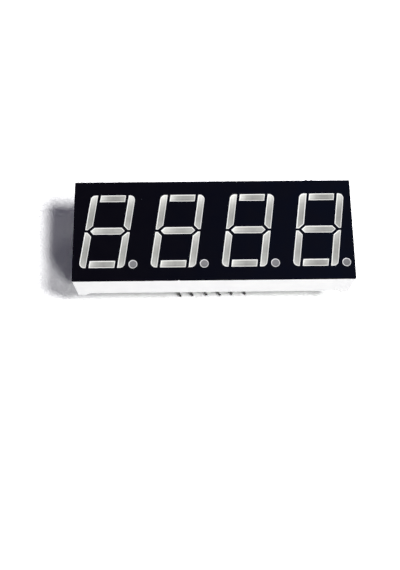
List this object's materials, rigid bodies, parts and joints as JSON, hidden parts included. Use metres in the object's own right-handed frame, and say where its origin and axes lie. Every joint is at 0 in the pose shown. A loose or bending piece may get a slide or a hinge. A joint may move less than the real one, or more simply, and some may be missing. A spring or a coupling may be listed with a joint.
{
  "type": "seven segment display module",
  "caption": "Slim rectangular LED numeric display with a black face, slanted segmented digits with decimal points and two rows of pins.",
  "frame": {"origin": "centre of the pin grid on the seating plane, which is the underside of the corner feet", "axes": "+X along the digits in reading order, +Y towards the tops of the digits, +Z out of the black face; the pins point along -Z"},
  "size_m": [0.0502, 0.019, 0.0143],
  "materials": {
    "housing_plastic": "satin moulded white plastic",
    "black_ink": "matt black printed layer with a faint sheen",
    "well_resin": "milky cast resin with a smooth matt surface",
    "board_laminate": "glass-fibre laminate",
    "copper": "bright copper",
    "led_chip": "polished crystal",
    "bond_wire": "bright gold wire",
    "solder": "smooth tin solder",
    "back_resin": "cloudy cast resin with a wet-looking surface",
    "tinned_pin": "drawn wire with a bright tin coat"
  },
  "bodies": {
    "root": {"reflector_housing": "housing_plastic", "face_mask": "black_ink", "digit1_segment_a": "well_resin", "digit1_segment_b": "well_resin", "digit1_segment_c": "well_resin", "digit1_segment_d": "well_resin", "digit1_segment_e": "well_resin", "digit1_segment_f": "well_resin", "digit1_segment_g": "well_resin", "digit1_decimal_point": "well_resin", "digit2_segment_a": "well_resin", "digit2_segment_b": "well_resin", "digit2_segment_c": "well_resin", "digit2_segment_d": "well_resin", "digit2_segment_e": "well_resin", "digit2_segment_f": "well_resin", "digit2_segment_g": "well_resin", "digit2_decimal_point": "well_resin", "digit3_segment_a": "well_resin", "digit3_segment_b": "well_resin", "digit3_segment_c": "well_resin", "digit3_segment_d": "well_resin", "digit3_segment_e": "well_resin", "digit3_segment_f": "well_resin", "digit3_segment_g": "well_resin", "digit3_decimal_point": "well_resin", "digit4_segment_a": "well_resin", "digit4_segment_b": "well_resin", "digit4_segment_c": "well_resin", "digit4_segment_d": "well_resin", "digit4_segment_e": "well_resin", "digit4_segment_f": "well_resin", "digit4_segment_g": "well_resin", "digit4_decimal_point": "well_resin", "circuit_board": "board_laminate", "front_copper": "copper", "back_copper": "copper", "digit1_led_chips": "led_chip", "digit2_led_chips": "led_chip", "digit3_led_chips": "led_chip", "digit4_led_chips": "led_chip", "digit1_bond_wires": "bond_wire", "digit2_bond_wires": "bond_wire", "digit3_bond_wires": "bond_wire", "digit4_bond_wires": "bond_wire", "solder_joints": "solder", "back_resin": "back_resin", "pin_1": "tinned_pin", "pin_2": "tinned_pin", "pin_3": "tinned_pin", "pin_4": "tinned_pin", "pin_5": "tinned_pin", "pin_6": "tinned_pin", "pin_7": "tinned_pin", "pin_8": "tinned_pin", "pin_9": "tinned_pin", "pin_10": "tinned_pin", "pin_11": "tinned_pin", "pin_12": "tinned_pin"}
  },
  "joints": []
}
